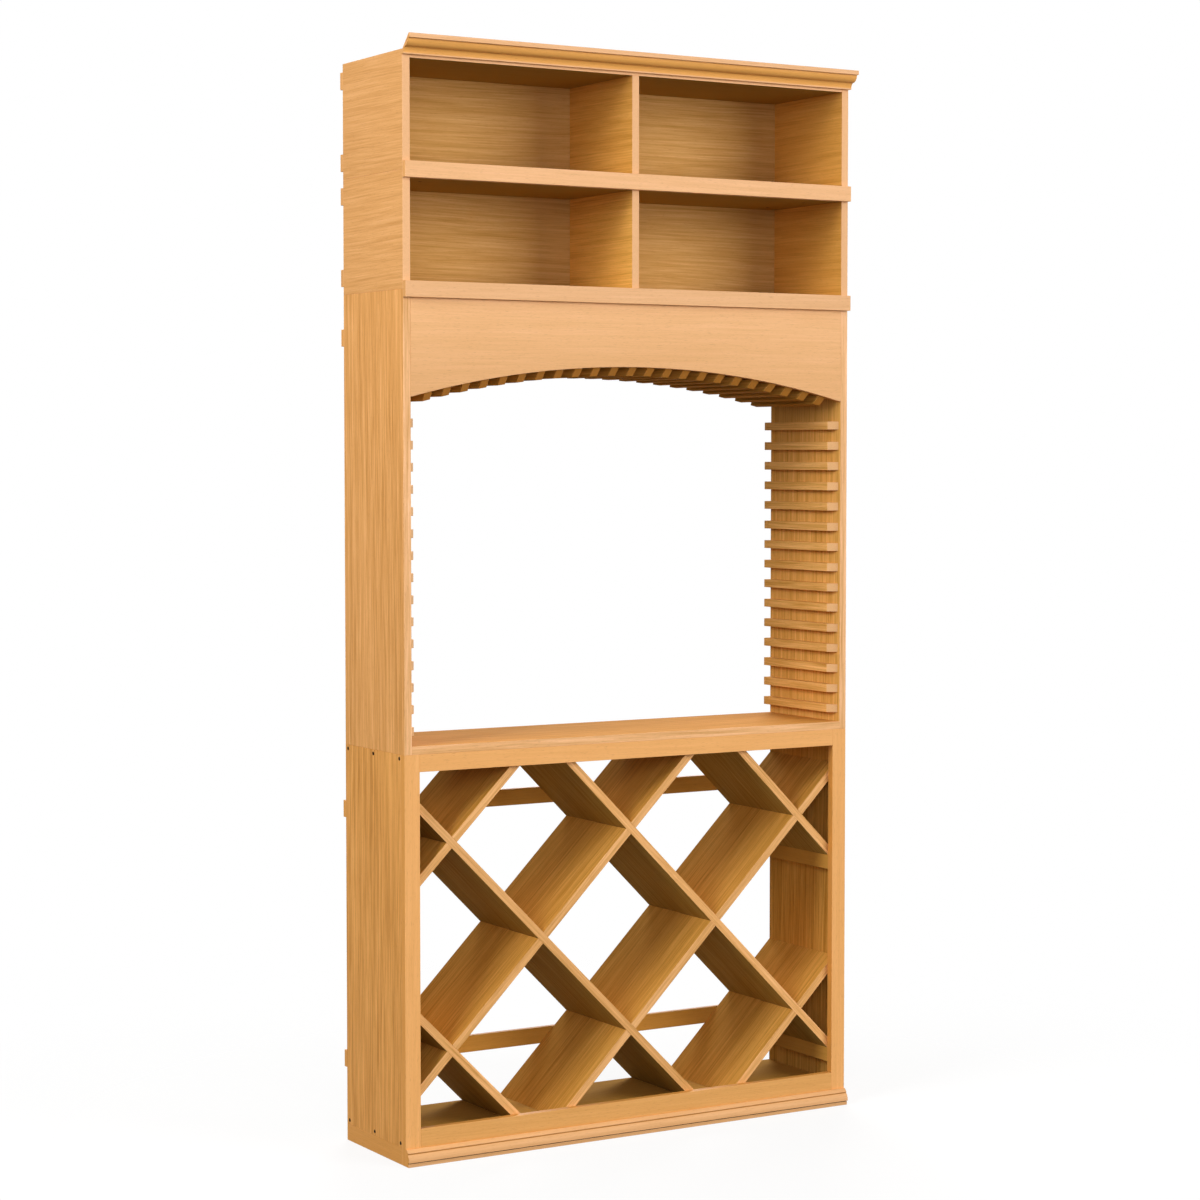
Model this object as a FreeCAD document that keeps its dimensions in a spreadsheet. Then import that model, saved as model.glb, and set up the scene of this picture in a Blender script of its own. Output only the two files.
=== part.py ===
"""Wine tasting station: diamond bin, counter under an arched niche, and two case boxes, all in hardwood.

Millimetres. +Z is up, the front faces -Y and +X is to the right of someone facing it.
The origin is on the floor, under the middle of the bounding box.
"""
import FreeCAD, Part
import math
import os
import re
import Sketcher

# Driving dimensions, in millimetres
SIZES = {
    # Carcass: three modules, one on the other
    "width": 1168,
    "depth": 288,
    "wall": 18,
    "bin_height": 895,
    "niche_height": 1000,
    "case_height": 254,
    # Face frame of the bin
    "frame_thick": 18,
    "stile_width": 37,
    "top_rail_width": 38,
    "bottom_rail_width": 78.5,
    # Inside and under the bin
    "plinth_height": 38,
    "divider_thick": 18,
    "divider_spacing": 325,
    "lap_clearance": 0.1,
    "cleat_thick": 18,
    "cleat_height": 34,
    # Niche
    "counter_thick": 18,
    "slat_size": 19,
    "slat_setback": 8,
    "slat_rear_gap": 0.5,
    "slat_pitch": 47.6,
    "lowest_slat_gap": 20.5,
    "valance_thick": 18,
    "valance_end_height": 212,
    "arch_rise": 72,
    # Case boxes
    "back_thick": 12.7,
    # Rails across the back
    "rail_thick": 12.7,
    "rail_width": 38,
    "bin_rail_inset": 109,
    "niche_rail_inset": 58,
    # Strips over the joints between modules
    "fascia_height": 35,
    "fascia_thick": 12.7,
    # Crown: foot, cove, ovolo, step and fillet, from the bottom up
    "crown_drop": 12,
    "crown_overhang": 2,
    "crown_foot": 9,
    "crown_foot_height": 3,
    "crown_cove": 5.5,
    "crown_cove_height": 11.5,
    "crown_ovolo": 16.5,
    "crown_step": 8,
    "crown_fillet": 10,
    "crown_top": 5,
    "crown_seat": 6,
    # Base moulding: fillet, quirk, nose, ovolo, bead and bevel, from the bottom up
    "base_fillet": 12.5,
    "base_fillet_height": 8,
    "base_quirk": 2,
    "base_quirk_height": 2,
    "base_nose": 5,
    "base_nose_height": 2.5,
    "base_ovolo": 8,
    "base_ovolo_height": 17,
    "base_bead": 2.5,
    "base_bead_height": 2,
    "base_bevel": 6.5,
    # Countersunk screws
    "screw_radius": 2,
    "head_radius": 4.2,
    "head_height": 3,
    "screw_clearance": 0.1,
    "side_screw_length": 45,
    "side_screw_from_frame": 7,
    "side_screw_from_rear": 12.5,
    "stack_screw_cover": 6,
    "stack_screw_from_side": 60,
    "stack_screw_from_edge": 70,
}

# Places and lengths that follow from the sizes
PLACES = {
    "crown_projection": "crown_foot + crown_cove + crown_ovolo + crown_step",
    "crown_height": "crown_foot_height + crown_cove_height + crown_ovolo + crown_fillet",
    "crown_cove_radius": "(crown_cove ^ 2 + crown_cove_height ^ 2) / (2 * crown_cove)",
    "front": "(crown_projection - depth - rail_thick) / 2",
    "rear": "front + depth",
    "frame_rear": "front + frame_thick",
    "bin_depth": "depth - frame_thick",
    "inner_half": "width / 2 - wall",
    "inner_width": "width - 2 * wall",
    "bin_floor_level": "plinth_height + wall",
    "bin_ceiling": "bin_height - wall",
    "bin_middle": "(bin_floor_level + bin_ceiling) / 2",
    "cell_half": "divider_spacing / sqrt(2)",
    "counter_level": "bin_height + counter_thick",
    "slat_length": "depth - slat_setback - slat_rear_gap",
    "niche_ceiling": "bin_height + niche_height - wall",
    "arch_springing": "niche_ceiling - valance_end_height",
    "arch_radius": "(inner_half ^ 2 + arch_rise ^ 2) / (2 * arch_rise)",
    "lower_case_base": "bin_height + niche_height",
    "upper_case_base": "lower_case_base + case_height",
    "carcass_top": "upper_case_base + case_height",
    "base_projection": "base_fillet - base_quirk + base_nose",
    "base_ovolo_radius": "(base_ovolo ^ 2 + base_ovolo_height ^ 2) / (2 * base_ovolo)",
}

X_AXIS = FreeCAD.Vector(1, 0, 0)
Y_AXIS = FreeCAD.Vector(0, 1, 0)
Z_AXIS = FreeCAD.Vector(0, 0, 1)

doc = FreeCAD.newDocument("WineTastingStation")
sheet = doc.addObject("Spreadsheet::Sheet", "Sizes")
for row, (alias, size) in enumerate(SIZES.items(), start=1):
    sheet.set(f"A{row}", alias)
    sheet.set(f"B{row}", str(size))
    sheet.setAlias(f"B{row}", alias)
doc.recompute()
gauge = doc.addObject("Part::Vertex", "gauge")
nodes = []


def expression(text):
    """Write a formula in terms of the sheet's cells, with every named place spelled out."""

    def spell(match):
        word = match.group()
        if word in PLACES:
            return "(" + expression(PLACES[word]) + ")"
        return "Sizes." + word if word in SIZES else word

    return re.sub(r"[a-z_]+", spell, text)


def bind(item, **formulas):
    """Tie an object's properties to the sheet; x, y and z are its place."""
    for name, text in formulas.items():
        path = "Placement.Base." + name if name in ("x", "y", "z") else name
        item.setExpression(path, expression(text))
    return item


def measure(text):
    """The present value of a formula."""
    bind(gauge, X=text)
    gauge.recompute()
    return gauge.X.Value


def node(item):
    """Mark an object as one of the finished pieces."""
    nodes.append(item)
    return item


def board(name, size, place):
    """A square-edged board of the given length (X), width (Y) and height (Z)."""
    box = doc.addObject("Part::Box", name)
    bind(box, Length=size[0], Width=size[1], Height=size[2])
    return bind(box, x=place[0], y=place[1], z=place[2])


def group(name, members):
    compound = doc.addObject("Part::Compound", name)
    compound.Links = members
    return compound


def cut(name, base, tool):
    result = doc.addObject("Part::Cut", name)
    result.Base = base
    result.Tool = tool
    return result


def common(name, base, tool):
    result = doc.addObject("Part::Common", name)
    result.Base = base
    result.Tool = tool
    return result


def fuse(name, members):
    result = doc.addObject("Part::MultiFuse", name)
    result.Shapes = members
    return result


def sketch_outline(body, role, corners, arcs):
    """Draw a closed outline through corners; arcs maps a side to its radius and the hand it bulges to."""
    sketch = body.newObject("Sketcher::SketchObject", body.Name + "_outline")
    plane = next(item for item in body.Origin.OriginFeatures if item.Role == role)
    sketch.AttachmentSupport = (plane, [""])
    sketch.MapMode = "FlatFace"
    points = [FreeCAD.Vector(measure(x), measure(y), 0) for x, y in corners]
    ends = points[1:] + points[:1]
    for side, (start, end) in enumerate(zip(points, ends)):
        if side in arcs:
            radius, hand = measure(arcs[side][0]), arcs[side][1]
            half_chord = (end - start) * 0.5
            sagitta = radius - math.sqrt(radius ** 2 - half_chord.Length ** 2)
            bulge = half_chord.cross(Z_AXIS).normalize() * (sagitta if hand == "right" else -sagitta)
            sketch.addGeometry(Part.Arc(start, start + half_chord + bulge, end))
        else:
            sketch.addGeometry(Part.LineSegment(start, end))

    def position(side, corner):
        """Whether a corner is the first (1) or the last (2) point of a side."""
        return 1 if sketch.getPoint(side, 1).distanceToPoint(corner) < 1e-6 else 2

    for side, (corner, formulas) in enumerate(zip(points, corners)):
        before = (side - 1) % len(points)
        here = (side, position(side, corner))
        sketch.addConstraint(Sketcher.Constraint("Coincident", before, position(before, corner), *here))
        for kind, axis, formula in (("DistanceX", -2, formulas[0]), ("DistanceY", -1, formulas[1])):
            if formula == "0":
                sketch.addConstraint(Sketcher.Constraint("PointOnObject", *here, axis))
            else:
                added = sketch.addConstraint(Sketcher.Constraint(kind, -1, 1, *here, measure(formula)))
                sketch.setExpression(f"Constraints[{added}]", expression(formula))
    for side, (radius, hand) in arcs.items():
        added = sketch.addConstraint(Sketcher.Constraint("Radius", side, measure(radius)))
        sketch.setExpression(f"Constraints[{added}]", expression(radius))
    return sketch


def moulded(name, role, corners, arcs, length, place, backwards=False):
    """A piece of one section: an outline padded square to its plane."""
    body = doc.addObject("PartDesign::Body", name)
    pad = body.newObject("PartDesign::Pad", name + "_pad")
    pad.Profile = sketch_outline(body, role, corners, arcs)
    pad.Reversed = backwards
    bind(pad, Length=length)
    return node(bind(body, x=place[0], y=place[1], z=place[2]))


def screw(name, place, direction, length, room="0"):
    """A countersunk screw, or its hole when room is the clearance around it."""
    turn = FreeCAD.Rotation(Z_AXIS, direction)
    head = doc.addObject("Part::Cone", name + "_head")
    bind(head, Radius1="head_radius + " + room, Radius2="screw_radius + " + room, Height="head_height")
    shank = doc.addObject("Part::Cylinder", name + "_shank")
    bind(shank, Radius="screw_radius + " + room, Height=length + " + " + room)
    for piece in (head, shank):
        piece.Placement.Rotation = turn
        bind(piece, x=place[0], y=place[1], z=place[2])
    return fuse(name, [head, shank])


def screws_and_holes():
    """All screws as three nodes, and all their holes as one tool that the panels are cut with."""
    side_rows = {"lower": "plinth_height + wall / 2", "upper": "bin_height - wall / 2"}
    side_columns = {
        "front": "frame_rear + side_screw_from_frame",
        "middle": "(frame_rear + side_screw_from_frame + rear - side_screw_from_rear) / 2",
        "rear": "rear - side_screw_from_rear",
    }
    stack_joints = {
        "bin": ("bin_ceiling", "wall + counter_thick - stack_screw_cover"),
        "niche": ("niche_ceiling", "2 * wall - stack_screw_cover"),
        "case": ("upper_case_base - wall", "2 * wall - stack_screw_cover"),
    }
    stack_corners = {
        "left_front": ("stack_screw_from_side - inner_half", "front + stack_screw_from_edge"),
        "right_front": ("inner_half - stack_screw_from_side", "front + stack_screw_from_edge"),
        "left_rear": ("stack_screw_from_side - inner_half", "rear - stack_screw_from_edge"),
        "right_rear": ("inner_half - stack_screw_from_side", "rear - stack_screw_from_edge"),
    }
    sets = {"side_screws_left": [], "side_screws_right": [], "stack_screws": []}
    for row, level in side_rows.items():
        for column, along in side_columns.items():
            tag = f"{row}_{column}"
            length = "side_screw_length"
            sets["side_screws_left"].append((tag, ("-width / 2", along, level), X_AXIS, length))
            sets["side_screws_right"].append((tag, ("width / 2", along, level), -X_AXIS, length))
    for joint, (level, length) in stack_joints.items():
        for corner, (across, along) in stack_corners.items():
            tag = f"{joint}_{corner}"
            sets["stack_screws"].append((tag, (across, along, level), Z_AXIS, length))
    holes = []
    for name, members in sets.items():
        solids = []
        for tag, place, direction, length in members:
            solids.append(screw(f"{name}_{tag}", place, direction, length))
            holes.append(screw(f"{name}_{tag}_hole", place, direction, length, "screw_clearance"))
        node(group(name, solids))
    return group("screw_holes", holes)


def bored_board(name, size, place, holes):
    """A board with the screw holes that reach it."""
    return node(cut(name, board(name + "_blank", size, place), holes))


def pair(name, size, place, holes=None):
    """A left and a right board, alike, at the given distance from the middle."""
    across = {"left": f"-({place[0]}) - ({size[0]})", "right": place[0]}
    for side, left_edge in across.items():
        where = (left_edge, place[1], place[2])
        if holes:
            bored_board(f"{name}_{side}", size, where, holes)
        else:
            node(board(f"{name}_{side}", size, where))


def bin_carcass(holes):
    pair("lower_side", ("wall", "bin_depth", "bin_height - plinth_height"),
         ("inner_half", "frame_rear", "plinth_height"), holes)
    panel = ("inner_width", "bin_depth", "wall")
    bored_board("bin_floor", panel, ("-inner_half", "frame_rear", "plinth_height"), holes)
    bored_board("bin_top", panel, ("-inner_half", "frame_rear", "bin_ceiling"), holes)
    pair("plinth", ("wall", "bin_depth", "plinth_height"), ("inner_half", "frame_rear", "0"))
    node(board("plinth_rear", ("inner_width", "wall", "plinth_height"),
               ("-inner_half", "rear - wall", "0")))


def face_frame():
    pair("stile", ("stile_width", "frame_thick", "bin_height"), ("width / 2 - stile_width", "front", "0"))
    length = "width - 2 * stile_width"
    left = "stile_width - width / 2"
    node(board("bottom_rail", (length, "frame_thick", "bottom_rail_width"), (left, "front", "0")))
    node(board("top_rail", (length, "frame_thick", "top_rail_width"),
               (left, "front", "bin_height - top_rail_width")))


def plank(name, slope, middle, along, deep, room):
    """A diagonal plank through (middle, bin_middle), longer than the bin; slope is falling or rising."""
    thick = f"(divider_thick + 2 * ({room}))"
    long = "(2 * (inner_width + bin_height))"
    box = doc.addObject("Part::Box", name)
    bind(box, Length=long, Width=deep, Height=thick)
    tilt = 45 if slope == "falling" else -45
    box.Placement.Rotation = FreeCAD.Rotation(Y_AXIS, tilt)
    sign = "+" if slope == "falling" else "-"
    other = "-" if slope == "falling" else "+"
    return bind(box, y=along,
                x=f"{middle} - ({long} {sign} {thick}) / sqrt(8)",
                z=f"bin_middle {sign} ({long} {other} {thick}) / sqrt(8)")


def dividers(space):
    """Eight diagonal boards, trimmed to the bin and half-lapped where they cross.

    Returns the whole planks, fused.
    """
    middles = {
        "falling": ("-cell_half", "cell_half", "-3 * cell_half", "3 * cell_half"),
        "rising": ("cell_half", "-cell_half", "3 * cell_half", "-3 * cell_half"),
    }
    half_starts = {"falling": "frame_rear", "rising": "frame_rear + bin_depth / 2"}
    laps = {}
    for slope, places in middles.items():
        tools = []
        for number, middle in enumerate(places, start=1):
            name = f"{slope}_lap_{number}"
            tools.append(plank(name, slope, middle, half_starts[slope], "bin_depth / 2", "lap_clearance"))
        laps[slope] = fuse(slope + "_laps", tools)
    crossing = {"falling": laps["rising"], "rising": laps["falling"]}
    planks = []
    for slope, places in middles.items():
        for number, middle in enumerate(places, start=1):
            name = f"{slope}_divider_{number}"
            planks.append(plank(name + "_plank", slope, middle, "frame_rear", "bin_depth", "0"))
            node(cut(name, common(name + "_trimmed", planks[-1], space), crossing[slope]))
    return fuse("divider_planks", planks)


def divider_cleats(space, planks):
    """Strips on the side panels, ripped to the slope of the dividers that end there.

    A divider that ends too near the floor has no room for one.
    """
    ends = ("3 * cell_half", "cell_half", "-cell_half", "-3 * cell_half")
    bottoms = [f"bin_middle + {middle} - inner_half + cleat_thick - divider_thick / sqrt(2) - cleat_height"
               for middle in ends]
    roomy = [bottom for bottom in bottoms if measure(f"{bottom} - bin_floor_level") > 0]
    for side, turn, across, along in (("left", -90, "-inner_half", "rear"),
                                      ("right", 90, "inner_half", "frame_rear")):
        cleats = []
        for number, bottom in enumerate(roomy, start=1):
            name = f"divider_cleat_{side}_{number}"
            strip = doc.addObject("Part::Wedge", name + "_strip")
            bind(strip, Xmin="0", X2min="0", Ymin="0", Zmin="0", Z2min="0")
            bind(strip, Xmax="bin_depth", X2max="bin_depth", Ymax="cleat_thick")
            bind(strip, Zmax="cleat_height - cleat_thick", Z2max="cleat_height")
            strip.Placement.Rotation = FreeCAD.Rotation(Z_AXIS, turn)
            bind(strip, x=across, y=along, z=bottom)
            cleats.append(cut(name, common(name + "_trimmed", strip, space), planks))
        node(group("divider_cleats_" + side, cleats))


def base_moulding():
    quirk_out = "(base_projection - base_fillet + base_quirk)"
    quirk_top = "base_fillet_height + base_quirk_height"
    nose_top = quirk_top + " + base_nose_height"
    ovolo_top = nose_top + " + base_ovolo_height"
    bead_top = ovolo_top + " + base_bead_height"
    bead_out = "(base_ovolo - base_bead)"
    corners = [
        ("base_projection", "0"),
        ("base_projection - base_fillet", "0"),
        ("base_projection - base_fillet", "base_fillet_height"),
        (quirk_out, "base_fillet_height"),
        (quirk_out, quirk_top),
        ("0", quirk_top),
        ("0", nose_top),
        ("base_ovolo", ovolo_top),
        (bead_out, ovolo_top),
        (bead_out, bead_top),
        (bead_out + " + base_bevel", bead_top + " + base_bevel"),
        ("base_projection", bead_top + " + base_bevel"),
    ]
    arcs = {6: ("base_ovolo_radius", "left")}
    moulded("base_moulding", "YZ_Plane", corners, arcs, "width",
            ("-width / 2", "front - base_projection", "0"))


def crown_moulding():
    foot = "crown_projection - crown_foot"
    cove_top = "crown_foot_height + crown_cove_height"
    ovolo_top = cove_top + " + crown_ovolo"
    corners = [
        ("crown_projection", "0"),
        (foot, "0"),
        (foot, "crown_foot_height"),
        (foot + " - crown_cove", cove_top),
        ("crown_step", ovolo_top),
        ("0", ovolo_top),
        ("0", "crown_height"),
        ("crown_top", "crown_height"),
        ("crown_projection", "crown_seat"),
    ]
    arcs = {2: ("crown_cove_radius", "right"), 3: ("crown_ovolo", "left")}
    moulded("crown_moulding", "YZ_Plane", corners, arcs, "width + 2 * crown_overhang",
            ("-width / 2 - crown_overhang", "front - crown_projection", "carcass_top - crown_drop"))


def niche_carcass(holes):
    pair("niche_side", ("wall", "depth", "niche_height"), ("inner_half", "front", "bin_height"))
    bored_board("counter_top", ("inner_width", "depth", "counter_thick"),
                ("-inner_half", "front", "bin_height"), holes)
    bored_board("niche_top", ("inner_width", "depth", "wall"),
                ("-inner_half", "front", "niche_ceiling"), holes)


def arch_boards():
    """The arched valance at the front and the like rib at the rear."""
    corners = [
        ("0", "0"),
        ("inner_width", "0"),
        ("inner_width", "valance_end_height"),
        ("0", "valance_end_height"),
    ]
    for name, along in (("arch_valance", "front"), ("arch_rear_rib", "rear - valance_thick")):
        moulded(name, "XZ_Plane", corners, {0: ("arch_radius", "left")}, "valance_thick",
                ("-inner_half", along, "arch_springing"), backwards=True)


def slat(name, outward, place):
    """A square slat along Y with its front end cut back at 45 degrees; outward points off its seat."""
    bar = doc.addObject("Part::Wedge", name)
    bind(bar, Xmin="0", X2min="0", Ymin="0", Zmin="0", Z2min="slat_size")
    bind(bar, Xmax="slat_size", X2max="slat_size", Ymax="slat_size")
    bind(bar, Zmax="slat_length", Z2max="slat_length")
    bar.Placement.Rotation = FreeCAD.Rotation(outward.cross(Y_AXIS), outward, Y_AXIS)
    return bind(bar, x=place[0], y="front + slat_setback", z=place[1])


def niche_slats():
    """Slats up each side, as many as fit between the counter and the arch."""
    room = measure("arch_springing - counter_level - lowest_slat_gap - 2 * slat_size")
    count = int(room / measure("slat_pitch")) + 1
    for side, outward, across, lift in (("left", X_AXIS, "-inner_half", "0"),
                                        ("right", -X_AXIS, "inner_half", "slat_size")):
        bars = []
        for number in range(count):
            level = f"counter_level + lowest_slat_gap + {number} * slat_pitch + {lift}"
            bars.append(slat(f"niche_slat_{side}_{number + 1}", outward, (across, level)))
        node(group("niche_slats_" + side, bars))


def arch_slats():
    """Slats under the arch, at the same pitch along its curve and clear of the side slats."""
    radius = measure("arch_radius")
    half_turn = math.asin(measure("inner_half") / radius)
    room = 2 * half_turn * radius - 3 * measure("slat_size")
    count = int(room / measure("slat_pitch")) + 1
    seat = "sqrt(arch_radius ^ 2 - slat_size ^ 2 / 4)"
    centre = "(arch_springing + arch_rise - arch_radius)"
    bars = []
    for number in range(count):
        turns = number - (count - 1) / 2
        angle = f"({turns} * slat_pitch / arch_radius * 180 / pi)"
        lean = math.radians(measure(angle))
        outward = FreeCAD.Vector(-math.sin(lean), 0, -math.cos(lean))
        place = (f"{seat} * sin({angle}) - slat_size / 2 * cos({angle})",
                 f"{centre} + {seat} * cos({angle}) + slat_size / 2 * sin({angle})")
        bars.append(slat(f"arch_slat_{number + 1}", outward, place))
    node(group("arch_slats", bars))


def case_box(name, base, bored, holes):
    """An open-fronted box with a back and a middle divider; bored names the panels the screws reach."""
    inside = "case_height - 2 * wall"
    pair(name + "_side", ("wall", "depth", "case_height"), ("inner_half", "front", base))
    panels = {"floor": base, "top": f"{base} + case_height - wall"}
    for panel, level in panels.items():
        shape = ("inner_width", "depth", "wall")
        place = ("-inner_half", "front", level)
        if panel in bored:
            bored_board(f"{name}_{panel}", shape, place, holes)
        else:
            node(board(f"{name}_{panel}", shape, place))
    node(board(name + "_divider", ("wall", "depth - back_thick", inside),
               ("-wall / 2", "front", f"{base} + wall")))
    node(board(name + "_back", ("inner_width", "back_thick", inside),
               ("-inner_half", "rear - back_thick", f"{base} + wall")))


def back_rails():
    """Rails across the back, full width, planted on the rear edges of the sides."""
    levels = {
        "bin_back_rail_lower": "bin_floor_level + bin_rail_inset",
        "bin_back_rail_upper": "bin_ceiling - bin_rail_inset - rail_width",
        "niche_back_rail": "niche_ceiling - niche_rail_inset - rail_width",
    }
    for case in ("lower_case", "upper_case"):
        levels[case + "_back_rail_low"] = f"{case}_base + wall"
        levels[case + "_back_rail_high"] = f"{case}_base + case_height - wall - rail_width"
    for name, level in levels.items():
        node(board(name, ("width", "rail_thick", "rail_width"), ("-width / 2", "rear", level)))


def fascias():
    """Strips that cover the joints above the niche."""
    for name, joint in (("lower_fascia", "lower_case_base"), ("upper_fascia", "upper_case_base")):
        node(board(name, ("width", "fascia_thick", "fascia_height"),
                   ("-width / 2", "front - fascia_thick", f"{joint} - fascia_height / 2")))


def write_parts():
    """Check every object and every piece, then write one file a piece."""
    doc.recompute()
    failed = [item.Name for item in doc.Objects if {"Invalid", "Error"} & set(item.State)]
    if failed:
        raise RuntimeError("these objects failed: " + ", ".join(failed))
    for item in nodes:
        if item.Shape.isNull() or not item.Shape.isValid() or not item.Shape.Solids:
            raise RuntimeError("no valid solid in " + item.Label)
    os.makedirs("parts", exist_ok=True)
    for item in nodes:
        item.Shape.exportStep(f"parts/{item.Label}.step")


screw_holes = screws_and_holes()
bin_carcass(screw_holes)
face_frame()
bin_space = board("bin_space", ("inner_width", "bin_depth", "bin_ceiling - bin_floor_level"),
                  ("-inner_half", "frame_rear", "bin_floor_level"))
divider_planks = dividers(bin_space)
divider_cleats(bin_space, divider_planks)
base_moulding()
niche_carcass(screw_holes)
arch_boards()
niche_slats()
arch_slats()
case_box("lower_case", "lower_case_base", ("floor", "top"), screw_holes)
case_box("upper_case", "upper_case_base", ("floor",), screw_holes)
back_rails()
fascias()
crown_moulding()
write_parts()
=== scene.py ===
import math
import random

import bmesh
import bpy
from mathutils import Euler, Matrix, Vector


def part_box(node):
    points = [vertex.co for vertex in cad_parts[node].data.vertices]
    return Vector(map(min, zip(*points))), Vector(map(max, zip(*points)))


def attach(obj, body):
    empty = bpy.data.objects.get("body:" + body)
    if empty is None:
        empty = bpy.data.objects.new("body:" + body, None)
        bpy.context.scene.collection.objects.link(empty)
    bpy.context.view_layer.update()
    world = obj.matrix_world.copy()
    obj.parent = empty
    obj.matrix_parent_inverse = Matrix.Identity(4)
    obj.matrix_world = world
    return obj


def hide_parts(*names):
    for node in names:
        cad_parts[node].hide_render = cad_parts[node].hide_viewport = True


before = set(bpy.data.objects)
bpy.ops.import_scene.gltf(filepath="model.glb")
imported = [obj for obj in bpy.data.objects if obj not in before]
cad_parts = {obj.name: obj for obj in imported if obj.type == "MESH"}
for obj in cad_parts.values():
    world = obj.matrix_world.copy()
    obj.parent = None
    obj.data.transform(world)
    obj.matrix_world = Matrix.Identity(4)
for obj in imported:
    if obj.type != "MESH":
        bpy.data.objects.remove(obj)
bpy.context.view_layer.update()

MM = 0.001

# The photograph's camera: place in metres, angles in degrees, lens and sensor in millimetres
CAMERA_PLACE = (-3.3687, -5.5650, 1.5440)
CAMERA_YAW = 31.08
CAMERA_PITCH = 2.95
CAMERA_LENS = 85.34
CAMERA_SENSOR = 36.0

# Softboxes: name, place, aim and side in metres, and power in watts
SOFTBOXES = (
    ("right_softbox", (4.2, -6.8, 3.1), (0, 0, 1.5), 4.6, 490),
    ("front_softbox", (-2.4, -5.0, 2.2), (0, 0, 1.0), 2.5, 88),
    ("left_softbox", (-4.5, -1.1, 3.6), (0, 0, 1.6), 2.5, 205),
    ("rear_softbox", (3.0, 5.0, 4.4), (0, 0, 1.5), 3.0, 300),
)

# White sweep under the object: sizes in metres from its middle, the colour that it shows and the
# greyer one that it lights the object with, and how far it glows by itself
SWEEP_RADIUS = 3.2
SWEEP_SIDES = 64
SWEEP_FADE = (0.7, 2.2)
SWEEP_SHOWN = "#F8F7F5"
SWEEP_LIGHTING = "#77746F"
SWEEP_GLOW = 0.84
WHITE = "#FFFFFF"

# The world's light comes from above a soft horizon, given as the height of a direction
SKY_LIGHT = 0.21
HORIZON = 0.1

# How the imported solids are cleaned: welding distance, and angles in degrees
WELD = 0.01 * MM
FLAT = 0.3
SHARPEST_PLAIN_ANGLE = 30
SHARPEST_CURVE_ANGLE = 20

# Arrises eased by hand sanding
EASE = 0.7 * MM
EASE_STEPS = 2
SHORTEST_ARRIS = 8 * MM

# Every board comes from another part of the log: how far its pith lies to the side and below, how
# much its grain slopes, and how far its tone is from its neighbours'
LOG_SEED = 11
LOG_LENGTH = 6.0
PITH_ACROSS = (260 * MM, 520 * MM)
PITH_DEEP = (20 * MM, 90 * MM)
GRAIN_SLOPE = 0.02
TONE_SPREAD = 0.04

# Which way a face looks, by parts of its normal, and where the inside begins and ends
FACES_FRONT = -0.3
FACES_REAR = 0.3
FACES_DOWN = -0.3
SQUARE_ON = 0.6
FRONT_EDGE = 22 * MM
REAR_SKIN = 1 * MM
TOUCH = 0.5 * MM

# Stain on planed faces, as the lightest streak shows it. Each module has its own stain: paler in the
# cases at the top and warmer in the bin at the bottom, which is painted light falling paler towards
# the top. Fronts are paler than the outer sides, which is painted sheen, and the bin's inside is
# darker, which is painted shade
OUTER_STAINS_WITH_PAINTED_LIGHT = {"bin": "#F0AD5D", "niche": "#EFB06C", "case": "#EDB275"}
FRONT_STAINS_AND_SHEEN = {"bin": "#FEC081", "niche": "#FAC597", "case": "#FAC69C"}
INSIDE_STAINS_AND_BIN_SHADE = {"bin": "#DFA958", "niche": "#EDB860", "case": "#F0B560"}

# Fronts that differ from their module's: the foot, and the edges of the bin's boards; like the other
# fronts they carry painted sheen
FRONT_STAIN_AND_SHEEN_BY_KIND = {
    "base_moulding": "#F0BB8C",
    "bottom_rail": "#F3B876",
    "falling_divider": "#F2BA7F",
    "rising_divider": "#F2BA7F",
}

# Boards inside that differ from their module's inside. The arch slats are darker, which is painted shade
# under the valance; the niche slats are lighter than the wall between them and the lower case's divider
# lighter than the other insides, which is painted light
INSIDE_STAIN_AND_LIGHT_BY_KIND = {
    "counter_top": "#ECAA5B",
    "niche_side": "#F6BE6E",
    "niche_slats": "#FFC57A",
    "arch_slats": "#D6A252",
    "falling_divider": "#EAAF5A",
    "rising_divider": "#EAAF5A",
    "lower_case_divider": "#FFC46A",
    "lower_case_back": "#DAAC70",
    "upper_case_back": "#DAAC70",
}

# Faces inside that look down get painted shade; the front ends of the niche slats get a painted
# highlight, and those of the arch slats a darker end-grain stain with painted shade from the valance
UNDERSIDE_PAINTED_SHADE = "#B49654"
SLAT_END_PAINTED_HIGHLIGHT = "#FCCB9D"
ARCH_END_GRAIN_AND_SHADE = "#C88A3E"

# The crown's hollow, between its foot and its fillet, is painted darker than the flat fronts: painted
# shade in the hollow
CROWN_HOLLOW_PAINTED_SHADE = "#FEBD6F"
CROWN_FOOT = 3 * MM
CROWN_FILLET = 10 * MM

# The foot's grooves, which are its quirk and the line under its bead, are painted dark by height: painted
# shadow under the nose and the bead
QUIRK = (7.9 * MM, 10.1 * MM)
BEAD_LINE = (27.0 * MM, 29.6 * MM)
GROOVE_PAINTED_SHADES = {QUIRK: "#4A2A10", BEAD_LINE: "#CA8F52"}

# A board's faces are sprayed where hands and eyes reach and only wiped inside
SPRAYED = 0
WIPED = 1
LACQUER = {"shine": 0.11, "roughest": 0.5, "smoothest": 0.4}
OIL = {"shine": 0.02, "roughest": 0.8, "smoothest": 0.7}

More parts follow.
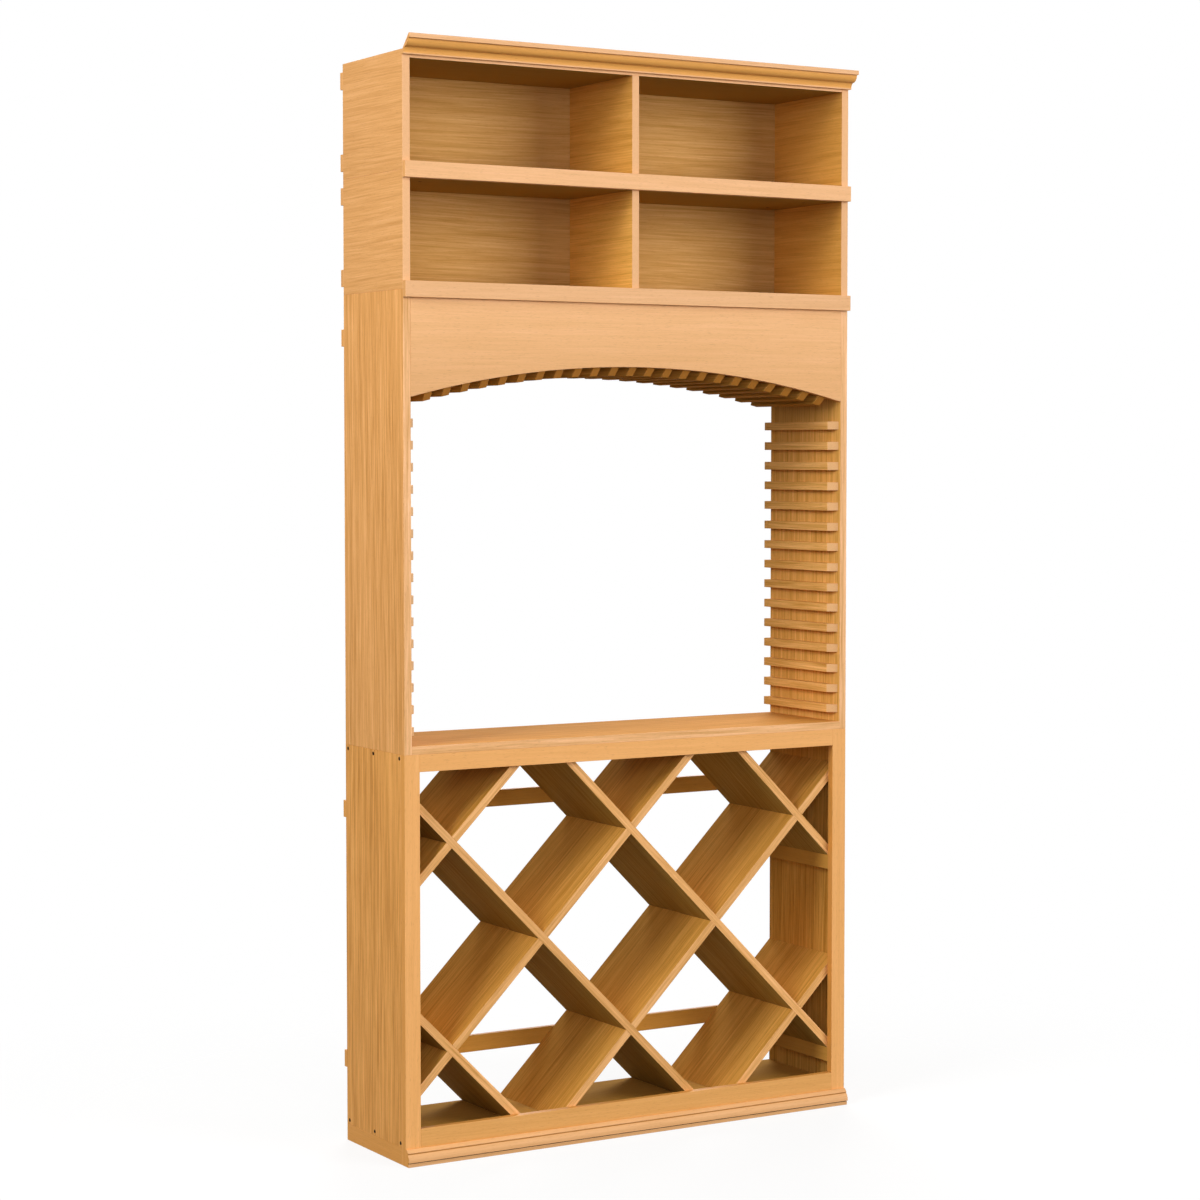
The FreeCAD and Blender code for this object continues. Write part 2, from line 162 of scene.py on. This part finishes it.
# Grain direction of each kind of board; what isn't listed runs along the front
ALONG_FRONT = Vector((1, 0, 0))
ALONG_DEPTH = Vector((0, 1, 0))
UPRIGHT = Vector((0, 0, 1))
AXES = (ALONG_FRONT, ALONG_DEPTH, UPRIGHT)
RISING = Vector((1, 0, 1)).normalized()
FALLING = Vector((1, 0, -1)).normalized()
GRAIN_BY_KIND = {
    "lower_side": UPRIGHT,
    "niche_side": UPRIGHT,
    "stile": UPRIGHT,
    "lower_case_side": ALONG_DEPTH,
    "upper_case_side": ALONG_DEPTH,
    "lower_case_divider": ALONG_DEPTH,
    "upper_case_divider": ALONG_DEPTH,
    "plinth_left": ALONG_DEPTH,
    "plinth_right": ALONG_DEPTH,
    "divider_cleats": ALONG_DEPTH,
    "niche_slats": ALONG_DEPTH,
    "arch_slats": ALONG_DEPTH,
    "falling_divider": FALLING,
    "rising_divider": RISING,
}

# How strongly each kind of board is figured; plain boards are kept for the front
FRONT_FIGURE = 0.22
END_FIGURE = 0.12
FIGURE_BY_KIND = {
    "lower_side": 1.3,
    "niche_side": 1.0,
    "lower_case_side": 0.6,
    "upper_case_side": 0.6,
    "lower_case_divider": 0.75,
    "upper_case_divider": 0.75,
    "lower_case_back": 0.75,
    "upper_case_back": 0.75,
    "counter_top": 0.8,
    "falling_divider": 1.0,
    "rising_divider": 1.0,
    "niche_slats": 1.0,
    "arch_slats": 1.0,
}

# Marks in the wood: length along the grain and width across it in millimetres, then how many finer
# layers each has and how strong these are. Fibres are finer on the real boards, and are drawn as
# coarse as they need to show
WAVER = (600, 120, 2.0, 0.5)
LINE_STRETCHES = (400, 60, 1.0, 0.5)
STREAKS = (360, 8, 4.0, 0.6)
FIBRES = (130, 3, 3.0, 0.6)
PORES = (14, 0.9, 1.0, 0.5)
WAVER_WIDTH = 14 * MM
LINE_SPACING = 30 * MM

# Between which values of their pattern the marks fade in, and how strong they get
LINE_EDGE = (0.55, 0.97)
STRETCH_EDGE = (0.4, 0.7)
LINE_STRENGTH = 0.09
PORE_EDGE = (0.62, 0.74)
PORE_STRENGTH = 0.3
GLOSS_EDGE = (0.3, 0.7)
FIBRE_STRENGTH = 1.1
MIDDLE_OF_MARKS = 1.04
MIDDLE_SHADE = 0.5
RUB_AND_HIGHLIGHT_STRENGTH = 0.25

# What the stain is multiplied with from dark streaks to light ones, and the colour of pores and of
# rubbed arrises, which also paints a highlight on them
STREAK_SHADES = [(0.15, "#C8BA8E"), (0.5, "#E7E0CA"), (0.85, WHITE)]
PORE_COLOUR = "#8A5622"
RUB_AND_HIGHLIGHT_COLOUR = "#F0BE80"

# Relief of the planed wood, and how a clear finish bends light
RELIEF_STRENGTH = 0.3
FIBRE_RELIEF = 0.6
GRAIN_RELIEF = 0.12 * MM
FINISH_IOR = 1.5

# Black phosphate on the screws
SPECK = 0.6 * MM
SPECK_RELIEF = 0.05 * MM
STEEL_SHADES = [(0.35, "#040404"), (0.65, "#0A0909"), (0.85, "#181614")]
STEEL_ROUGHNESS = (0.45, 0.7)
STEEL_SHINE = 0.02

# Screw heads: a round face of many corners, with a square socket sunk in it
SCREWS = ("side_screws_left", "side_screws_right", "stack_screws")
SMALLEST_HEAD = 40 * MM * MM
MOST_PLAIN_CORNERS = 8
HEAD_RIM = 1.6 * MM
SOCKET_HALF = 1.35 * MM
SOCKET_DEPTH = 1.8 * MM

# Boards with curved faces, which are shaded smooth
CURVED = ("crown_moulding", "base_moulding", "arch_valance", "arch_rear_rib")

# A colour Mix node has its share, its two colours and its result on these sockets
MIX_SHARE = 0
MIX_FIRST = 6
MIX_SECOND = 7
MIX_RESULT = 2

# A ring pattern of scale 1 has this many rings in 2 pi metres, and noise wavers about this middle
RINGS_AT_SCALE_1 = 20
MIDDLE_OF_NOISE = (0.5, 0.5, 0.5)


def linear(hex_colour):
    """Turn an sRGB hex value into linear red, green, blue and alpha."""
    parts = [int(hex_colour[i:i + 2], 16) / 255 for i in (1, 3, 5)]
    return tuple(c / 12.92 if c <= 0.04045 else ((c + 0.055) / 1.055) ** 2.4 for c in parts) + (1.0,)


def add(tree, kind, links=None, stops=(), **settings):
    """Add a shader node with its settings; links gives each input a value or another node's output,
    and stops gives a colour ramp its places and hex values."""
    made = tree.nodes.new("ShaderNode" + kind)
    for name, value in settings.items():
        setattr(made, name, value)
    for socket, source in (links or {}).items():
        if isinstance(source, bpy.types.NodeSocket):
            tree.links.new(source, made.inputs[socket])
        else:
            made.inputs[socket].default_value = source
    for place, _ in stops[1:-1]:
        made.color_ramp.elements.new(place)
    for number, (place, colour) in enumerate(stops):
        made.color_ramp.elements[number].position = place
        made.color_ramp.elements[number].color = linear(colour)
    return made


def new_material(name):
    """A material with an empty node tree."""
    material = bpy.data.materials.new(name)
    material.use_nodes = True
    tree = material.node_tree
    tree.nodes.clear()
    return material, tree


def drawn_out(tree, place, mark):
    """Noise drawn out along the grain, with patches as long and wide as one mark in the wood."""
    along, across, layers, layer_strength = mark
    scale = (1 / (along * MM), 1 / (across * MM), 1 / (across * MM))
    stretched = add(tree, "VectorMath", {0: place, 1: scale}, operation="MULTIPLY")
    return add(tree, "TexNoise", {"Vector": stretched.outputs[0], "Scale": 1.0, "Detail": layers,
                                  "Roughness": layer_strength})


def wavering(tree, grain):
    """Grain coordinates whose lines waver a few millimetres over each half metre or so of board."""
    drift = drawn_out(tree, grain, WAVER)
    centred = add(tree, "VectorMath", {0: drift.outputs["Color"], 1: MIDDLE_OF_NOISE},
                  operation="SUBTRACT")
    sway = (0.0, WAVER_WIDTH, WAVER_WIDTH)
    waver = add(tree, "VectorMath", {0: centred.outputs[0], 1: sway, 2: grain}, operation="MULTIPLY_ADD")
    return waver.outputs[0]


def growth_lines(tree, grain, waver):
    """Thin lines where a year's growth ends, stronger in some stretches than in others."""
    scale = 2 * math.pi / (RINGS_AT_SCALE_1 * LINE_SPACING)
    rings = add(tree, "TexWave", {"Vector": waver, "Scale": scale, "Distortion": 3.0, "Detail": 2.0,
                                  "Detail Scale": 0.5},
                wave_type="RINGS", rings_direction="X", wave_profile="SAW")
    line = add(tree, "MapRange", {"Value": rings.outputs["Fac"], "From Min": LINE_EDGE[0],
                                  "From Max": LINE_EDGE[1]}, interpolation_type="SMOOTHSTEP")
    stretch = drawn_out(tree, grain, LINE_STRETCHES)
    strength = add(tree, "MapRange", {"Value": stretch.outputs["Fac"], "From Min": STRETCH_EDGE[0],
                                      "From Max": STRETCH_EDGE[1], "To Max": LINE_STRENGTH})
    lines = add(tree, "Math", {0: line.outputs["Result"], 1: strength.outputs["Result"]},
                operation="MULTIPLY")
    return lines.outputs[0]


def honey_hardwood(name, shine, roughest, smoothest):
    """Straight-grained hardwood, planed, stained honey and sprayed with satin lacquer or wiped with oil.

    The eye sees long parallel streaks, thin darker growth lines, short pores and a soft sheen where it
    is sprayed; arrises are rubbed a little lighter, which also paints a highlight on them.
    """
    material, tree = new_material(name)
    grain = add(tree, "Attribute", attribute_name="grain").outputs["Vector"]
    stain_and_painted_light = add(tree, "Attribute", attribute_name="stain_and_painted_light").outputs["Vector"]
    figure = add(tree, "Attribute", attribute_name="figure").outputs["Fac"]
    arris = add(tree, "Attribute", attribute_name="arris").outputs["Fac"]

    waver = wavering(tree, grain)
    late_wood = growth_lines(tree, grain, waver)
    streaks = drawn_out(tree, waver, STREAKS).outputs["Fac"]
    fibres = drawn_out(tree, waver, FIBRES).outputs["Fac"]
    pore_noise = drawn_out(tree, waver, PORES).outputs["Fac"]
    pores = add(tree, "MapRange", {"Value": pore_noise, "From Min": PORE_EDGE[0],
                                   "From Max": PORE_EDGE[1], "To Max": PORE_STRENGTH}).outputs["Result"]

    # How strongly a board is figured depends on how it was sawn
    lined = add(tree, "Math", {0: streaks, 1: late_wood}, operation="SUBTRACT").outputs[0]
    marks = add(tree, "Math", {0: fibres, 1: FIBRE_STRENGTH, 2: lined},
                operation="MULTIPLY_ADD").outputs[0]
    level = add(tree, "Math", {0: marks, 1: MIDDLE_OF_MARKS}, operation="SUBTRACT").outputs[0]
    shade = add(tree, "Math", {0: level, 1: figure, 2: MIDDLE_SHADE},
                operation="MULTIPLY_ADD").outputs[0]
    streak_shade = add(tree, "ValToRGB", {"Fac": shade}, STREAK_SHADES).outputs["Color"]
    stained_and_painted = add(tree, "VectorMath", {0: stain_and_painted_light, 1: streak_shade}, operation="MULTIPLY").outputs[0]
    pored = add(tree, "Mix", {MIX_SHARE: pores, MIX_FIRST: stained_and_painted, MIX_SECOND: linear(PORE_COLOUR)},
                data_type="RGBA").outputs[MIX_RESULT]
    # Arrises are rubbed lighter and carry a painted highlight
    arris_rub_and_highlight = add(tree, "MapRange", {"Value": arris, "To Max": RUB_AND_HIGHLIGHT_STRENGTH}).outputs["Result"]
    rubbed_and_highlighted = add(tree, "Mix", {MIX_SHARE: arris_rub_and_highlight, MIX_FIRST: pored, MIX_SECOND: linear(RUB_AND_HIGHLIGHT_COLOUR)},
                 data_type="RGBA").outputs[MIX_RESULT]

    # Fibres catch the light unevenly, and pores are sunk
    gloss = add(tree, "MapRange", {"Value": fibres, "From Min": GLOSS_EDGE[0], "From Max": GLOSS_EDGE[1],
                                   "To Min": roughest, "To Max": smoothest}).outputs["Result"]
    relief = add(tree, "Math", {0: fibres, 1: FIBRE_RELIEF, 2: streaks},
                 operation="MULTIPLY_ADD").outputs[0]
    sunk = add(tree, "Math", {0: relief, 1: pores}, operation="SUBTRACT").outputs[0]
    bump = add(tree, "Bump", {"Height": sunk, "Strength": RELIEF_STRENGTH, "Distance": GRAIN_RELIEF})
    wood = add(tree, "BsdfPrincipled", {"Base Color": rubbed_and_highlighted, "Roughness": gloss, "IOR": FINISH_IOR,
                                        "Specular IOR Level": shine, "Normal": bump.outputs["Normal"]})
    add(tree, "OutputMaterial", {"Surface": wood.outputs["BSDF"]})
    return material


def phosphated_steel():
    """Screw steel dipped in black phosphate: nearly black, dull, with paler rubbed specks."""
    material, tree = new_material("black_phosphated_steel")
    place = add(tree, "TexCoord").outputs["Object"]
    specks = add(tree, "TexNoise", {"Vector": place, "Scale": 1 / SPECK, "Detail": 3.0}).outputs["Fac"]
    colour = add(tree, "ValToRGB", {"Fac": specks}, STEEL_SHADES)
    rough = add(tree, "MapRange", {"Value": specks, "To Min": STEEL_ROUGHNESS[0],
                                   "To Max": STEEL_ROUGHNESS[1]})
    bump = add(tree, "Bump", {"Height": specks, "Strength": RELIEF_STRENGTH, "Distance": SPECK_RELIEF})
    steel = add(tree, "BsdfPrincipled", {"Base Color": colour.outputs["Color"],
                                         "Roughness": rough.outputs["Result"],
                                         "Specular IOR Level": STEEL_SHINE,
                                         "Normal": bump.outputs["Normal"]})
    add(tree, "OutputMaterial", {"Surface": steel.outputs["BSDF"]})
    return material


def of_kind(name, by_kind, otherwise):
    """What a table gives for the kind of board that a name starts with."""
    return next((by_kind[kind] for kind in by_kind if name.startswith(kind)), otherwise)


def looks_along(face, axis):
    """True where a face looks along an axis, one way or the other."""
    return abs(face.normal.dot(axis)) > SQUARE_ON


def inside_bounds():
    """The space between the side panels, from behind the front edges to the rear of the carcass."""
    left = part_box("niche_side_left")
    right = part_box("niche_side_right")
    low = Vector((left[1].x, left[0].y + FRONT_EDGE, 0))
    high = Vector((right[0].x, left[1].y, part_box("upper_case_top")[1].z - WELD))
    return low, high


INSIDE_LOW, INSIDE_HIGH = inside_bounds()


def is_inside(face):
    """True where a face looks into the bin, the niche or a case and not out of the object."""
    place = face.calc_center_median()
    between_sides = INSIDE_LOW.x - TOUCH <= place.x <= INSIDE_HIGH.x + TOUCH
    behind_front = INSIDE_LOW.y - TOUCH <= place.y <= INSIDE_HIGH.y + TOUCH
    at_rear = face.normal.y > FACES_REAR and place.y > INSIDE_HIGH.y - REAR_SKIN
    return between_sides and behind_front and place.z < INSIDE_HIGH.z and not at_rear


def module_of(height):
    """The module that a board belongs to, by the height of its middle."""
    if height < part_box("counter_top")[0].z:
        return "bin"
    return "niche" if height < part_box("lower_case_floor")[0].z - TOUCH else "case"


def in_crown_hollow(face, run):
    """True on the curved faces of the crown's front, not on its ends, foot, fillet or back."""
    low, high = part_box("crown_moulding")
    place = face.calc_center_median()
    between = low.z + CROWN_FOOT < place.z < high.z - CROWN_FILLET + WELD
    return between and face.normal.y < 0 and not looks_along(face, run)


def groove_painted_shade(face):
    """The painted shadow in a groove of the foot, or None outside the grooves."""
    height = face.calc_center_median().z
    return next((stain_and_painted_light for (low, high), stain_and_painted_light in GROOVE_PAINTED_SHADES.items() if low < height < high), None)


def stain_and_painted_light_of(name, face, run, module):
    """The stain that one face of a board shows, with the painted sheen, highlight and shade laid into it.
    """
    front = face.normal.y < FACES_FRONT
    # Slat ends: a painted highlight on the niche slats, end grain with painted shade from the valance on
    # the arch slats
    if "slats" in name and front and looks_along(face, run):
        return ARCH_END_GRAIN_AND_SHADE if name.startswith("arch") else SLAT_END_PAINTED_HIGHLIGHT
    # The crown's hollow: painted shade
    if name == "crown_moulding" and in_crown_hollow(face, run):
        return CROWN_HOLLOW_PAINTED_SHADE
    # The foot's grooves: painted shadow
    if name == "base_moulding" and groove_painted_shade(face):
        return groove_painted_shade(face)
    if not is_inside(face):
        # Fronts carry painted sheen; outer faces carry their module's stain with painted light, paler
        # towards the top
        return of_kind(name, FRONT_STAIN_AND_SHEEN_BY_KIND, FRONT_STAINS_AND_SHEEN[module]) if front else OUTER_STAINS_WITH_PAINTED_LIGHT[module]
    # Faces inside that look down: painted shade
    if face.normal.z < FACES_DOWN and "slats" not in name:
        return UNDERSIDE_PAINTED_SHADE
    return of_kind(name, INSIDE_STAIN_AND_LIGHT_BY_KIND, INSIDE_STAINS_AND_BIN_SHADE[module])


def finish_of(name, face):
    """Sprayed or wiped: the counter is wiped as the inside is, so that it can be wiped again."""
    return WIPED if name == "counter_top" or is_inside(face) else SPRAYED


def corners_of(verts):
    """Lowest and highest corner of a set of vertices."""
    places = [vert.co for vert in verts]
    low = Vector([min(place[i] for place in places) for i in range(3)])
    high = Vector([max(place[i] for place in places) for i in range(3)])
    return low, high


def board_axes(run, span):
    """Directions across a board's face and through its thickness, square to its run."""
    if run in (RISING, FALLING):
        across = ALONG_DEPTH
    else:
        squares = [axis for axis in AXES if axis != run]
        across = max(squares, key=lambda axis: abs(axis.dot(span)))
    return across, run.cross(across)


def islands(shape):
    """The separate solids of a mesh, as sets of vertices, in the order of their first vertex."""
    taken = set()
    for first in shape.verts:
        if first in taken:
            continue
        found = {first}
        to_visit = [first]
        while to_visit:
            vert = to_visit.pop()
            near = {edge.other_vert(vert) for edge in vert.link_edges} - found
            found |= near
            to_visit.extend(near)
        taken |= found
        yield found


def lay_grain(shape, name, arrises, pick):
    """Give each board its own stretch of log: grain coordinates, stain with painted light and shade,
    figure and arrises.
    """
    run = of_kind(name, GRAIN_BY_KIND, ALONG_FRONT)
    board_figure = of_kind(name, FIGURE_BY_KIND, FRONT_FIGURE)
    grain = shape.verts.layers.float_vector.new("grain")
    stain_and_painted_light = shape.faces.layers.float_vector.new("stain_and_painted_light")
    figure = shape.faces.layers.float.new("figure")
    arris = shape.faces.layers.float.new("arris")
    for board in islands(shape):
        low, high = corners_of(board)
        middle = (low + high) / 2
        module = module_of(middle.z)
        across, through = board_axes(run, high - low)
        slope = pick.uniform(-GRAIN_SLOPE, GRAIN_SLOPE)
        along = run + across * slope
        aside = across - run * slope
        start = pick.uniform(0, LOG_LENGTH)
        pith_across = pick.choice((-1, 1)) * pick.uniform(*PITH_ACROSS)
        pith_deep = pick.uniform(*PITH_DEEP)
        tone = 1 + pick.uniform(-TONE_SPREAD, TONE_SPREAD)
        faces = set()
        for vert in board:
            offset = vert.co - middle
            vert[grain] = (offset.dot(along) + start, offset.dot(aside) + pith_across,
                           offset.dot(through) + pith_deep)
            faces.update(vert.link_faces)
        for face in faces:
            face[stain_and_painted_light] = tone * Vector(linear(stain_and_painted_light_of(name, face, run, module))[:3])
            face[figure] = END_FIGURE if looks_along(face, run) else board_figure
            face[arris] = 1.0 if face in arrises else 0.0
            face.material_index = finish_of(name, face)


def packed_shape(name):
    """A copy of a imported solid, welded, with each flat face in one piece."""
    shape = bmesh.new()
    shape.from_mesh(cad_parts[name].data)
    bmesh.ops.remove_doubles(shape, verts=shape.verts, dist=WELD)
    bmesh.ops.dissolve_limit(shape, angle_limit=math.radians(FLAT), verts=shape.verts, edges=shape.edges)
    return shape


def mesh_of(shape, name):
    """Turn a finished shape into a mesh, and let the shape go."""
    mesh = bpy.data.meshes.new(name)
    shape.to_mesh(mesh)
    shape.free()
    return mesh


def shade_curves(mesh, sharpest):
    """Shade a mesh smooth up to an angle in degrees."""
    mesh.shade_smooth()
    mesh.set_sharp_from_angle(angle=math.radians(sharpest))


def place_piece(name, mesh, materials):
    """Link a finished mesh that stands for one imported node."""
    for material in materials:
        mesh.materials.append(material)
    piece = bpy.data.objects.new(name + "_finished", mesh)
    bpy.context.scene.collection.objects.link(piece)
    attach(piece, "root")
    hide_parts(name)


def is_arris(edge):
    """True for a long outer corner, which sanding eases."""
    if not (edge.is_manifold and edge.is_convex):
        return False
    sharp = edge.calc_face_angle() > math.radians(SHARPEST_PLAIN_ANGLE)
    return sharp and edge.calc_length() > SHORTEST_ARRIS


def board_from(name, finishes, pick):
    """A board as the joiner leaves it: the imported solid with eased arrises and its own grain."""
    shape = packed_shape(name)
    arrises = [edge for edge in shape.edges if is_arris(edge)]
    eased = bmesh.ops.bevel(shape, geom=arrises, offset=EASE, offset_type="OFFSET", affect="EDGES",
                            segments=EASE_STEPS, profile=0.5, material=-1, clamp_overlap=True)
    shape.normal_update()
    lay_grain(shape, name, set(eased["faces"]), pick)
    mesh = mesh_of(shape, name + "_eased")
    if name in CURVED:
        shade_curves(mesh, SHARPEST_CURVE_ANGLE)
    else:
        mesh.shade_flat()
    place_piece(name, mesh, finishes)


def sink_socket(shape, head):
    """Sink a square socket for the driver into the round face of a screw head."""
    middle = head.calc_center_median()
    bmesh.ops.inset_individual(shape, faces=[head], thickness=HEAD_RIM)
    side = next(axis for axis in AXES if not looks_along(head, axis))
    up = head.normal.cross(side)
    for vert in head.verts:
        away = vert.co - middle
        reach = max(abs(away.dot(side)), abs(away.dot(up)))
        vert.co = middle + away * (SOCKET_HALF / reach)
    socket = bmesh.ops.extrude_discrete_faces(shape, faces=[head])["faces"][0]
    bmesh.ops.translate(shape, verts=socket.verts, vec=-socket.normal * SOCKET_DEPTH)


def screws_from(name, steel):
    """Countersunk screws as packed, with a socket in each head."""
    shape = packed_shape(name)
    heads = [face for face in shape.faces
             if face.calc_area() > SMALLEST_HEAD and len(face.verts) > MOST_PLAIN_CORNERS]
    for head in heads:
        sink_socket(shape, head)
    mesh = mesh_of(shape, name + "_screws")
    shade_curves(mesh, SHARPEST_PLAIN_ANGLE)
    place_piece(name, mesh, [steel])


def soft_light(name, place, target, size, power):
    """A square softbox turned to a point."""
    lamp = bpy.data.lights.new(name, "AREA")
    lamp.shape = "SQUARE"
    lamp.size = size
    lamp.energy = power
    softbox = bpy.data.objects.new(name, lamp)
    softbox.location = place
    softbox.rotation_euler = (Vector(target) - Vector(place)).to_track_quat("-Z", "Y").to_euler()
    bpy.context.scene.collection.objects.link(softbox)


def seen(tree):
    """1 where a ray shows the background: straight, in a reflection or through something clear."""
    ray = add(tree, "LightPath").outputs
    mirrored = add(tree, "Math", {0: ray["Is Camera Ray"], 1: ray["Is Glossy Ray"]}, operation="MAXIMUM")
    either = add(tree, "Math", {0: mirrored.outputs[0], 1: ray["Is Transmission Ray"]},
                 operation="MAXIMUM")
    return either.outputs[0]


def white_sweep():
    """Matt white paper that keeps the shadow and melts into the white behind it."""
    material, tree = new_material("matt_white_sweep")
    shown = seen(tree)
    colour = add(tree, "Mix", {MIX_SHARE: shown, MIX_FIRST: linear(SWEEP_LIGHTING),
                               MIX_SECOND: linear(SWEEP_SHOWN)}, data_type="RGBA")
    matt = add(tree, "BsdfDiffuse", {"Color": colour.outputs[MIX_RESULT]})
    white = add(tree, "Emission", {"Color": linear(WHITE), "Strength": 1.0})
    glow = add(tree, "MapRange", {"Value": shown, "To Max": SWEEP_GLOW}).outputs["Result"]
    paper = add(tree, "MixShader", {0: glow, 1: matt.outputs[0], 2: white.outputs[0]})
    clear = add(tree, "BsdfTransparent")
    place = add(tree, "TexCoord").outputs["Object"]
    far = add(tree, "VectorMath", {0: place}, operation="LENGTH").outputs["Value"]
    fade = add(tree, "MapRange", {"Value": far, "From Min": SWEEP_FADE[0], "From Max": SWEEP_FADE[1]},
               interpolation_type="SMOOTHSTEP").outputs["Result"]
    faded = add(tree, "MixShader", {0: fade, 1: paper.outputs[0], 2: clear.outputs[0]})
    add(tree, "OutputMaterial", {"Surface": faded.outputs[0]})
    return material


def pale_floor():
    """A round sheet of the sweep on which the object stands."""
    sheet = bmesh.new()
    bmesh.ops.create_circle(sheet, cap_ends=True, segments=SWEEP_SIDES, radius=SWEEP_RADIUS)
    mesh = mesh_of(sheet, "floor")
    mesh.materials.append(white_sweep())
    floor = bpy.data.objects.new("floor", mesh)
    bpy.context.scene.collection.objects.link(floor)


def white_surroundings():
    """White behind the object and in its reflections; a dimmer white lights it from above the horizon."""
    world = bpy.data.worlds.new("white_studio")
    world.use_nodes = True
    tree = world.node_tree
    tree.nodes.clear()
    height = add(tree, "SeparateXYZ", {0: add(tree, "TexCoord").outputs["Generated"]}).outputs["Z"]
    sky = add(tree, "MapRange", {"Value": height, "From Min": -HORIZON, "From Max": HORIZON,
                                 "To Max": SKY_LIGHT}).outputs["Result"]
    strength = add(tree, "Math", {0: seen(tree), 1: sky}, operation="MAXIMUM").outputs[0]
    white = add(tree, "Background", {"Color": linear(WHITE), "Strength": strength})
    add(tree, "OutputWorld", {"Surface": white.outputs[0]})
    bpy.context.scene.world = world


def photograph_camera():
    """The camera that took the photograph, level but for its pitch."""
    lens = bpy.data.cameras.new("photograph_camera")
    lens.sensor_width = CAMERA_SENSOR
    lens.lens = CAMERA_LENS
    camera = bpy.data.objects.new("photograph_camera", lens)
    camera.location = CAMERA_PLACE
    camera.rotation_euler = Euler((math.radians(90 - CAMERA_PITCH), 0, math.radians(-CAMERA_YAW)))
    bpy.context.scene.collection.objects.link(camera)
    bpy.context.scene.camera = camera


finishes = [honey_hardwood("satin_lacquered_honey_hardwood", **LACQUER),
            honey_hardwood("oil_wiped_honey_hardwood", **OIL)]
steel = phosphated_steel()
log = random.Random(LOG_SEED)
for name in sorted(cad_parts):
    if name in SCREWS:
        screws_from(name, steel)
    else:
        board_from(name, finishes, log)

pale_floor()
white_surroundings()
for softbox in SOFTBOXES:
    soft_light(*softbox)
photograph_camera()
bpy.context.scene.view_settings.view_transform = "Standard"
